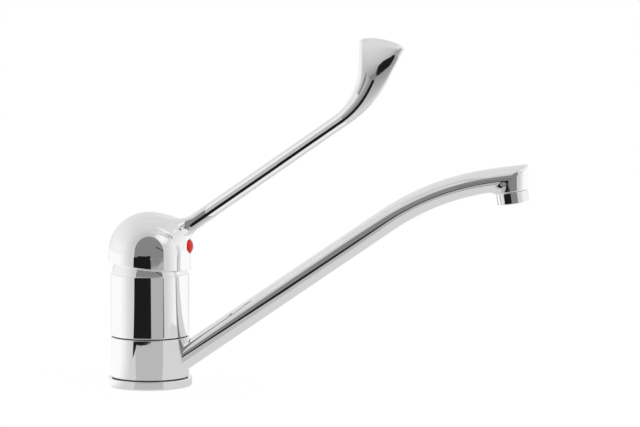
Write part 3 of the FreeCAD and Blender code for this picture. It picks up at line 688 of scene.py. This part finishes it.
def ball_curve(radius, low, high, steps):
    """Outline points on a ball about the pivot, from one height to another."""
    start = math.asin((low - pivot_height) / radius)
    stop = math.asin((high - pivot_height) / radius)
    angles = [start + (stop - start) * step / steps for step in range(steps + 1)]
    return [(radius * math.cos(angle), pivot_height + radius * math.sin(angle), 0) for angle in angles]


cover_outline = [(lip_bore, body_top, broken_edge)]
cover_outline += ball_curve(cover_radius, body_top, cover_top, 24)
cover_outline += ball_curve(cover_radius - cover_wall, cover_top, lip_top, 16)
cover_outline += [(lip_bore, lip_top, broken_edge)]
piece("cover_ring_chrome", turned("cover_ring", cover_outline), chrome, "body", "chrome", "cover_ring")


# Lever handle: zinc casting, polished and chromed. A hollow dome with a tilted rim flows into a slim rod
# that bends up and flares into a flat paddle, so that the tap can be worked with an elbow.
cap_radius = 25.4
dome_centre = 81.5
rim_height = 74.4
rim_tilt = math.radians(6.1)
rim_edge = 0.5
cap_inner = 22.8
lever_slope = math.radians(34.9)
lever_rise = 81.4
neck_blend = 9.0
saddle_blend = 2.0
neck_start = 18.0
neck_end = 36 / math.cos(lever_slope)
rod_width = 9.3
rod_thickness = 9.0
rod_power = 4.0
bend_start = 118 / math.cos(lever_slope)
bend_radius = 55.0
paddle_slope = math.radians(74.7)
paddle_straight = 16.0
paddle_width = 27.8
paddle_thickness = 7.4
paddle_crown = 4.0
paddle_lean = math.radians(4.5)

rod_ahead = np.array([math.cos(lever_slope), 0, math.sin(lever_slope)])
rod_up = np.array([-math.sin(lever_slope), 0, math.cos(lever_slope)])
rod_origin = np.array([0, 0, lever_rise])
columns = 200
round_about = np.linspace(0, 2 * math.pi, columns, endpoint=False)
spokes = np.cos(round_about)[:, None] * rod_up + np.sin(round_about)[:, None] * across


def handle_field(spots):
    """Dome on its skirt and the rod, blended: a wide saddle on top, a tight crease below."""
    over = np.maximum(spots[..., 2] - dome_centre, 0)
    cap = np.sqrt(spots[..., 0] ** 2 + spots[..., 1] ** 2 + over ** 2) - cap_radius
    along = (spots - rod_origin) @ rod_ahead
    up = (spots - rod_origin) @ rod_up
    aside = spots[..., 1]
    rod = rounded_bar(np.abs(aside), up, rod_thickness / 2, rod_width / 2, rod_power)
    rod = np.where(along > 0, rod, np.hypot(rod, along))
    lean = up / np.maximum(np.hypot(up, aside), 0.001)
    return smooth_min(cap, rod, neck_blend + saddle_blend * lean)


def handle_ring(along, angle):
    """Loop on the handle met by rays that leave the rod's axis at an angle to it."""
    origin = rod_origin + rod_ahead * along
    angle = np.broadcast_to(angle, (columns,))
    direction = np.cos(angle)[:, None] * rod_ahead + np.sin(angle)[:, None] * spokes
    return cast_rays(handle_field, origin, direction, 60)


dome_angle = math.radians(40)
low_angle = np.full(columns, dome_angle)
high_angle = np.full(columns, math.radians(179))
for _ in range(30):
    rim_angle = (low_angle + high_angle) / 2
    rim = handle_ring(0, rim_angle)
    below = rim[:, 2] + rim[:, 0] * math.tan(rim_tilt) < rim_height + rim_edge
    high_angle = np.where(below, rim_angle, high_angle)
    low_angle = np.where(below, low_angle, rim_angle)

rim_turn = np.arctan2(rim[:, 1], rim[:, 0])


def cap_ring(radius, rise, tilted=True):
    """Loop of a radius at a height over the tilted rim, or over the dome's centre."""
    x = radius * np.cos(rim_turn)
    level = rim_height - x * math.tan(rim_tilt) if tilted else np.full(columns, dome_centre)
    return np.stack([x, radius * np.sin(rim_turn), level + rise], axis=1)


handle_rows = []
for angle in np.radians(np.linspace(90, 0, 24)):
    handle_rows.append(cap_ring(cap_inner * math.cos(angle), cap_inner * math.sin(angle), tilted=False))
for chamfer, rise in ((0, 1.2), (0, 1.0), (0.5, 0.1), (0.7, 0)):
    handle_rows.append(cap_ring(cap_inner + chamfer, rise))
for angle in np.radians(np.linspace(-90, 0, 7)):
    handle_rows.append(cap_ring(cap_radius - rim_edge + rim_edge * math.cos(angle),
                                rim_edge + rim_edge * math.sin(angle)))
handle_rows.append(cap_ring(cap_radius, rim_edge * 1.3))
for share in np.linspace(0, 1, 100)[1:]:
    handle_rows.append(handle_ring(0, rim_angle + (dome_angle - rim_angle) * share))
for along in np.linspace(0, neck_end, 90)[1:]:
    opened = soft_step((along - neck_start) / (neck_end - neck_start))
    handle_rows.append(handle_ring(along, dome_angle + (math.pi / 2 - dome_angle) * opened))

bend_length = bend_radius * (paddle_slope - lever_slope)
shoulder = bend_length + paddle_straight


def lever_course(beyond):
    """Point on the lever's centre line and slope of the loop there, past the start of its bend."""
    slope = lever_slope + min(max(beyond, 0) / bend_radius, paddle_slope - lever_slope)
    spot = rod_origin + rod_ahead * (bend_start + min(beyond, 0))
    spot = spot + bend_radius * np.array([math.sin(slope) - math.sin(lever_slope), 0,
                                          math.cos(lever_slope) - math.cos(slope)])
    straight = max(beyond - bend_length, 0)
    lean = paddle_lean * min(straight / paddle_straight, 1)
    return spot + straight * np.array([math.cos(slope), 0, math.sin(slope)]), slope + lean


def lever_ring(beyond, width, thickness, power):
    """Loop square to the lever, flatter at its sides for a higher power."""
    centre, slope = lever_course(beyond)
    up = np.array([-math.sin(slope), 0, math.cos(slope)])
    low = np.zeros(columns)
    high = np.full(columns, width + thickness)
    for _ in range(40):
        reach = (low + high) / 2
        outside = (np.abs(2 * reach * np.sin(round_about) / thickness) ** power
                   + (2 * reach * np.cos(round_about) / width) ** 2) > 1
        high = np.where(outside, reach, high)
        low = np.where(outside, low, reach)
    rise = low * np.cos(round_about)
    aside = low * np.sin(round_about)
    return centre + up * rise[:, None] + across * aside[:, None]


paddle_power = 2.0
for beyond in np.linspace(neck_end - bend_start, 0, 40)[1:]:
    handle_rows.append(lever_ring(beyond, rod_width, rod_thickness, rod_power))
for share in np.linspace(0, 1, 90)[1:]:
    width = rod_width + (paddle_width - rod_width) * share ** 1.4
    thickness = rod_thickness + (paddle_thickness - rod_thickness) * share ** 2
    power = rod_power + (paddle_power - rod_power) * soft_step(share * 1.5)
    handle_rows.append(lever_ring(shoulder * share, width, thickness, power))
for angle in np.radians(np.linspace(0, 89.9, 25))[1:]:
    handle_rows.append(lever_ring(shoulder + paddle_crown * math.sin(angle), paddle_width * math.cos(angle),
                                  paddle_thickness * math.cos(angle), paddle_power))
handle_mesh = skin("lever_handle", handle_rows, sharp=60)
piece("lever_handle_chrome", handle_mesh, chrome, "handle", "chrome", "lever_handle")


# Grub screw: stainless steel set screw with a hexagon socket.
# It clamps the handle on the stem's square, behind the indicator plug.
dress("handle_grub_screw", drawn_steel)


# Indicator plug: a crowned button in two halves of gloss acrylic, red for hot and blue for cold.
# It snaps into the recess under the lever and hides the grub screw.
plug_radius = 4.5
plug_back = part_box("indicator_hot")[0].x / MM
plug_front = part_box("indicator_hot")[1].x / MM
plug_height = (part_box("indicator_hot")[0].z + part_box("indicator_hot")[1].z) / 2 / MM
plug_bulge = 1.9
crown_radius = (plug_radius ** 2 + plug_bulge ** 2) / (2 * plug_bulge)
plug_length = plug_front - plug_back
plug_seat = Matrix.Translation(Vector((plug_back, 0, plug_height)) * MM)
plug_seat = plug_seat @ Matrix.Rotation(math.pi / 2, 4, "Y")
half_gap = 0.03


def plug_half(side):
    """Half of the crowned button, on one side of its upright split."""
    outline = [(0, 0, 0), (plug_radius, 0, 0.2), (plug_radius, plug_length - plug_bulge, 0.35)]
    crown = math.asin(plug_radius / crown_radius)
    for step in range(1, 20):
        angle = crown * (1 - step / 20)
        if crown_radius * math.sin(angle) < plug_radius - 0.4:
            outline.append((crown_radius * math.sin(angle),
                            plug_length - crown_radius * (1 - math.cos(angle)), 0))
    outline.append((0, plug_length, 0))
    mesh = turned("indicator_plug", outline, around=128)
    mesh.transform(plug_seat)
    form = bmesh.new()
    form.from_mesh(mesh)
    everything = list(form.verts) + list(form.edges) + list(form.faces)
    split = bmesh.ops.bisect_plane(form, geom=everything, plane_co=(0, side * half_gap * MM, 0),
                                   plane_no=(0, -side, 0), clear_outer=True)
    edges = [part for part in split["geom_cut"] if isinstance(part, bmesh.types.BMEdge)]
    bmesh.ops.contextual_create(form, geom=edges)
    bmesh.ops.recalc_face_normals(form, faces=form.faces)
    form.to_mesh(mesh)
    form.free()
    mesh.shade_smooth()
    mesh.set_sharp_from_angle(angle=math.radians(40))
    return mesh


for side, name, colour, slot in ((-1, "indicator_hot", (0.86, 0.03, 0.015), "red_plastic"),
                                 (1, "indicator_cold", (0.02, 0.1, 0.5), "blue_plastic")):
    acrylic = finish(slot, colour, 0.2, mottle=0.12, cell=0.002, relief=0.000006)
    acrylic.node_tree.nodes["Principled BSDF"].inputs["Specular IOR Level"].default_value = 0.25
    piece(name + "_plug", plug_half(side), acrylic, "handle", slot, name)


# Studio: white paper under and round the tap, and the open, darker side of the tent towards the camera.
# Glowing sheets paint the reflections: a black cloth and grey mats in front of the tap, painted shade on the
# floor, and strips of card close beside the lever.
# The camera sees only white: the cards glow only for the chrome, which mirrors them as painted reflections.
view_azimuth = math.radians(10)
view_elevation = math.radians(5.9)
view_distance = 2.1
photo_width = 640
pixel_size = 0.615 * MM
centre_right = 0.1044
centre_up = 0.1052
to_camera = Vector((math.sin(view_azimuth), -math.cos(view_azimuth), 0))
to_right = Vector((math.cos(view_azimuth), math.sin(view_azimuth), 0))
back_axis = to_camera * math.cos(view_elevation) + Vector((0, 0, math.sin(view_elevation)))
up_axis = back_axis.cross(to_right)


def flat(name, corners, material):
    """Flat stage piece with any number of corners, in metres."""
    mesh = bpy.data.meshes.new(name)
    mesh.from_pydata([tuple(corner) for corner in corners], [], [tuple(range(len(corners)))])
    mesh.materials.append(material)
    sheet = bpy.data.objects.new(name, mesh)
    scene.collection.objects.link(sheet)
    sheet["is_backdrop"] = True
    return sheet


def ramp_over(tree, value, low, high, stops):
    """Grey that runs through rising stops of (place between low and high, level)."""
    place = tree.nodes.new("ShaderNodeMapRange")
    place.inputs["From Min"].default_value = low
    place.inputs["From Max"].default_value = high
    tree.links.new(value, place.inputs["Value"])
    ramp = tree.nodes.new("ShaderNodeValToRGB")
    greys = ramp.color_ramp.elements
    for spot, level in stops[1:-1]:
        greys.new((spot - low) / (high - low)).color = (level, level, level, 1)
    for end, (spot, level) in ((greys[0], stops[0]), (greys[-1], stops[-1])):
        end.position = (spot - low) / (high - low)
        end.color = (level, level, level, 1)
    tree.links.new(place.outputs["Result"], ramp.inputs["Fac"])
    return ramp.outputs["Color"]


def facing_camera(tree, direction):
    """How far a direction points to the camera's side: 1 towards it, -1 away from it."""
    unit = tree.nodes.new("ShaderNodeVectorMath")
    unit.operation = "NORMALIZE"
    tree.links.new(direction, unit.inputs[0])
    facing = tree.nodes.new("ShaderNodeVectorMath")
    facing.operation = "DOT_PRODUCT"
    facing.inputs[1].default_value = to_camera
    tree.links.new(unit.outputs["Vector"], facing.inputs[0])
    return facing.outputs["Value"]


def floor_paper():
    """White paper: it takes a soft shadow, and in the chrome it glows with a painted shade that greys
    towards the open side.
    """
    material = bpy.data.materials.new("floor_paper")
    material.use_nodes = True
    tree = material.node_tree
    tree.nodes.clear()
    add = tree.nodes.new
    link = tree.links.new
    paper = add("ShaderNodeBsdfDiffuse")
    paper.inputs["Color"].default_value = (0.86, 0.86, 0.86, 1)
    white = add("ShaderNodeEmission")
    white.inputs["Color"].default_value = (1, 1, 1, 1)
    white.inputs["Strength"].default_value = 1.04
    # For glossy rays the paper glows at a level set by its direction from the tap: painted shade, darker
    # towards the camera's side.
    mirrored = add("ShaderNodeEmission")
    where = add("ShaderNodeTexCoord").outputs["Object"]
    shade = ramp_over(tree, facing_camera(tree, where), -1, 1,
                      [(-1, 0.9), (-0.75, 1.04), (0, 1.04), (0.26, 0.92), (0.64, 0.68)])
    link(shade, mirrored.inputs["Color"])
    seen = add("ShaderNodeLightPath")
    share = add("ShaderNodeMath")
    share.operation = "MULTIPLY"
    share.inputs[1].default_value = 0.9
    link(seen.outputs["Is Camera Ray"], share.inputs[0])
    both = add("ShaderNodeMixShader")
    link(share.outputs[0], both.inputs["Fac"])
    link(paper.outputs["BSDF"], both.inputs[1])
    link(white.outputs["Emission"], both.inputs[2])
    whole = add("ShaderNodeMixShader")
    link(seen.outputs["Is Glossy Ray"], whole.inputs["Fac"])
    link(both.outputs["Shader"], whole.inputs[1])
    link(mirrored.outputs["Emission"], whole.inputs[2])
    out = add("ShaderNodeOutputMaterial")
    link(whole.outputs["Shader"], out.inputs["Surface"])
    return material


def card(name, corners, stops):
    """Glowing card that only the chrome shows, a painted reflection: corners (right, near, up) and stops
    (height, level), in mm.
    """
    material = bpy.data.materials.new(name)
    material.use_nodes = True
    tree = material.node_tree
    tree.nodes.clear()
    glow = tree.nodes.new("ShaderNodeEmission")
    where = tree.nodes.new("ShaderNodeTexCoord").outputs["Object"]
    height = tree.nodes.new("ShaderNodeSeparateXYZ")
    tree.links.new(where, height.inputs["Vector"])
    metres = [(up * MM, level) for up, level in stops]
    shade = ramp_over(tree, height.outputs["Z"], metres[0][0], metres[-1][0], metres)
    tree.links.new(shade, glow.inputs["Color"])
    out = tree.nodes.new("ShaderNodeOutputMaterial")
    tree.links.new(glow.outputs["Emission"], out.inputs["Surface"])
    spots = []
    for right, near, up in corners:
        spots.append((to_right * right + to_camera * near + Vector((0, 0, up))) * MM)
    sheet = flat(name, spots, material)
    sheet.visible_camera = False
    sheet.visible_diffuse = False
    sheet.visible_shadow = False


def plain(level):
    """Stops for a card of one level."""
    return [(0, level), (1, level)]


def mat(name, level, outline):
    """Card of one level that lies on the floor; its outline is (right, near)."""
    card(name, [(right, near, 0) for right, near in outline], plain(level))


def upright(name, near, outline, stops):
    """Card that stands at a distance from the tap's axis, square to the view; its outline is (right, up)."""
    card(name, [(right, near, up) for right, up in outline], stops)


floor_half = 3.0
floor_level = -0.0003
floor_corners = [(-floor_half, -floor_half), (floor_half, -floor_half), (floor_half, floor_half),
                 (-floor_half, floor_half)]
flat("floor", [(x, y, floor_level) for x, y in floor_corners], floor_paper())

black = 0.012
mat("black_cloth", black, [(-112, 107), (-125, 180), (-61, 210), (27, 234), (76, 705), (-572, 705),
                           (-450, 500), (-181, 183)])
mat("grey_strip", 0.46, [(27, 234), (160, 190), (278, 315), (415, 462), (460, 520), (398, 567), (130, 640),
                         (68, 640)])
mat("strip_edge", 0.1, [(160, 190), (174, 184), (292, 306), (430, 454), (415, 462), (278, 315)])
mat("strip_end", 0.25, [(68, 640), (130, 640), (398, 567), (460, 520), (640, 712), (76, 712)])
# Painted shade on the floor, seen only in the chrome: grey in front of the tap, and the shadow under the
# arm.
mat("near_floor_shade", 0.52, [(-14, 29), (-24, 43), (-42, 65), (-108, 138), (-125, 180), (-61, 210), (27, 234),
                       (160, 190), (95, 120), (42, 65), (24, 43), (14, 29)])
mat("arm_shadow", 0.7, [(14, -60), (14, 29), (24, 43), (42, 65), (95, 120), (160, 190), (300, 120),
                        (300, -60)])
mat("rear_cloth", 0.03, [(-30, -140), (-126, -600), (126, -600), (30, -140)])

arch_near = 715
arch_middle = 24
arch_half_width = 612
arch_shoulder = 255
arch_top = 994
arch = [(arch_middle - arch_half_width, 0), (arch_middle + arch_half_width, 0)]
for degrees in range(0, 181, 9):
    angle = math.radians(degrees)
    arch.append((arch_middle + arch_half_width * math.cos(angle),
                 arch_shoulder + (arch_top - arch_shoulder) * math.sin(angle)))
upright("tent_opening", arch_near, arch, [(0, 0.24), (arch_top, 0.25)])
sill_near = 705
upright("dark_sill", sill_near, [(-420, 0), (60, 0), (60, 60), (-20, 60), (-60, 45), (-420, 45)],
        plain(black))
# The dark box and the near sheet are painted reflections for the paddle: a dark patch, and a grey that
# lightens upwards.
box_near = 250
upright("dark_box", box_near,
        [(93, 187), (114, 183), (145, 173), (160, 165), (200, 147), (222, 134), (222, 126), (208, 130),
         (186, 140), (166, 151), (145, 160), (128, 164), (100, 174), (92, 181)],
        plain(black))
sheet_near = 75
upright("near_sheet", sheet_near,
        [(5, 199), (90, 197), (100, 192), (126, 192), (128, 195.5), (138, 197), (155, 194.5), (160, 192),
         (165, 187), (176, 187), (176, 420), (72, 420), (72, 226), (5, 226)],
        [(187, 0.3), (194, 0.4), (200, 0.58), (212, 0.75), (420, 0.77)])

# The strips beside the lever stand on one upright plane along it, a little towards the camera; they paint
# the dark, grey and light bands reflected along the rod and round its bend.
strip_gap = 20.0
strip_rise = 87.1
rod_end = 112


def beside_lever(name, outline, stops):
    """Card on the plane of the strips; its outline is (right, up)."""
    corners = []
    for right, up in outline:
        near = (strip_gap + right * math.sin(view_azimuth)) / math.cos(view_azimuth)
        corners.append((right, near, up))
    card(name, corners, stops)


def rod_spot(along, edge):
    """Point (right, up) at a distance along the rod and square to it."""
    return (along - edge * math.sin(lever_slope),
            strip_rise + along * math.tan(lever_slope) + edge * math.cos(lever_slope))


for name, start, low_edge, high_edge, level in (("rod_dark", 72, -9, -1.2, black),
                                                ("rod_grey", 28, -1.2, 8.5, 0.53),
                                                ("rod_light", 28, 8.5, 26, 0.96),
                                                ("rod_glow", 28, -32, -10, 0.9)):
    strip = [rod_spot(start, low_edge), rod_spot(rod_end, low_edge),
             rod_spot(rod_end, high_edge), rod_spot(start, high_edge)]
    beside_lever(name, strip, plain(level))

bend_foot = Vector((114.9, 161.0))
bend_turn = Vector((125.2, 168.5))
bend_tip = Vector((133.2, 188.0))
foot_half_width = 3.4
tip_half_width = 2.0


def bend_edge(side, beyond=0.0, reach=1.0):
    """Edge of the dark strip round the lever's bend, or a curve beyond that edge, up to a share of it."""
    edge = []
    for share in np.linspace(0, reach, 10):
        early = bend_foot.lerp(bend_turn, share)
        late = bend_turn.lerp(bend_tip, share)
        outward = (late - early).normalized().orthogonal() * side
        half_width = foot_half_width + (tip_half_width - foot_half_width) * share
        edge.append(early.lerp(late, share) + outward * (half_width + beyond))
    return edge


beside_lever("bend_dark", bend_edge(1) + bend_edge(-1)[::-1], plain(black))
for name, inner, outer, reach, level in (("bend_shade", 0, 5, 1.0, 0.3),
                                         ("bend_grey", 5, 10, 1.0, 0.47),
                                         ("bend_light", 10, 26, 0.67, 0.85)):
    beside_lever(name, bend_edge(1, inner, reach) + bend_edge(1, outer, reach)[::-1], plain(level))
beside_lever("bend_glow",
             bend_edge(-1) + [(136, 189.5), (142, 190.3), (146, 191.8), (151, 192), (155, 193), (160, 195),
                              (166, 192), (182, 178), (182, 140), (130, 140)],
             [(140, 0.74), (160, 0.7), (174, 0.52), (188, 0.34), (195, 0.32)])

lamp_azimuth = math.radians(46)
lamp_elevation = math.radians(43)
lamp_level = to_camera * math.cos(lamp_azimuth) + to_right * math.sin(lamp_azimuth)
lamp_direction = lamp_level * math.cos(lamp_elevation) + Vector((0, 0, math.sin(lamp_elevation)))


def tent():
    """White tent: pure white to the camera and an even light for diffuse surfaces; in the chrome a painted
    reflection that greys towards the opening and overhead, with a painted highlight of the lamp.
    """
    world = bpy.data.worlds.new("tent")
    world.use_nodes = True
    tree = world.node_tree
    tree.nodes.clear()
    add = tree.nodes.new
    link = tree.links.new
    seen = add("ShaderNodeLightPath")
    where = add("ShaderNodeTexCoord").outputs["Generated"]
    around = ramp_over(tree, facing_camera(tree, where), -1, 1,
                       [(-1, 0.84), (-0.86, 0.86), (-0.7, 0.93), (-0.17, 0.97), (0.26, 0.9), (0.64, 0.68)])
    height = add("ShaderNodeSeparateXYZ")
    link(where, height.inputs["Vector"])
    overhead = ramp_over(tree, height.outputs["Z"], 0, 1, [(0.2, 1.0), (0.9, 0.78)])
    shade = add("ShaderNodeVectorMath")
    shade.operation = "MULTIPLY"
    link(around, shade.inputs[0])
    link(overhead, shade.inputs[1])
    # Painted highlight: a soft bright spot in the lamp's direction, added to what the chrome sees.
    aim = add("ShaderNodeVectorMath")
    aim.operation = "DOT_PRODUCT"
    aim.inputs[1].default_value = lamp_direction
    link(where, aim.inputs[0])
    glow = ramp_over(tree, aim.outputs["Value"], 0.93, 1, [(0.94, 0.0), (0.995, 0.34)])
    glowing = add("ShaderNodeVectorMath")
    link(shade.outputs["Vector"], glowing.inputs[0])
    link(glow, glowing.inputs[1])
    mirrored = add("ShaderNodeBackground")
    link(glowing.outputs["Vector"], mirrored.inputs["Color"])
    lit = add("ShaderNodeBackground")
    lit.inputs["Color"].default_value = (1, 1, 1, 1)
    lit.inputs["Strength"].default_value = 0.75
    clear = add("ShaderNodeBackground")
    clear.inputs["Color"].default_value = (1, 1, 1, 1)
    first = add("ShaderNodeMixShader")
    second = add("ShaderNodeMixShader")
    link(seen.outputs["Is Glossy Ray"], first.inputs["Fac"])
    link(lit.outputs["Background"], first.inputs[1])
    link(mirrored.outputs["Background"], first.inputs[2])
    link(seen.outputs["Is Camera Ray"], second.inputs["Fac"])
    link(first.outputs["Shader"], second.inputs[1])
    link(clear.outputs["Background"], second.inputs[2])
    out = add("ShaderNodeOutputWorld")
    link(second.outputs["Shader"], out.inputs["Surface"])
    return world


scene.world = tent()
lamp = bpy.data.lights.new("soft_lamp", "AREA")
lamp.shape = "DISK"
lamp.size = 0.4
lamp.energy = 0.4
lamp_distance = 0.9
lamp_object = bpy.data.objects.new("soft_lamp", lamp)
lamp_object.location = lamp_direction * lamp_distance
lamp_object.rotation_euler = lamp_direction.to_track_quat("Z", "Y").to_euler()
# The chrome doesn't see the lamp; the tent paints its highlight instead.
lamp_object.visible_glossy = False
scene.collection.objects.link(lamp_object)

lens = bpy.data.cameras.new("camera")
lens.sensor_width = 36.0
lens.lens = view_distance / (pixel_size * photo_width) * lens.sensor_width
camera = bpy.data.objects.new("camera", lens)
view_centre = to_right * centre_right + up_axis * centre_up
view_turn = Matrix((to_right, up_axis, back_axis)).transposed().to_4x4()
camera.matrix_world = Matrix.Translation(view_centre + back_axis * view_distance) @ view_turn
scene.collection.objects.link(camera)
scene.camera = camera

low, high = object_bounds()
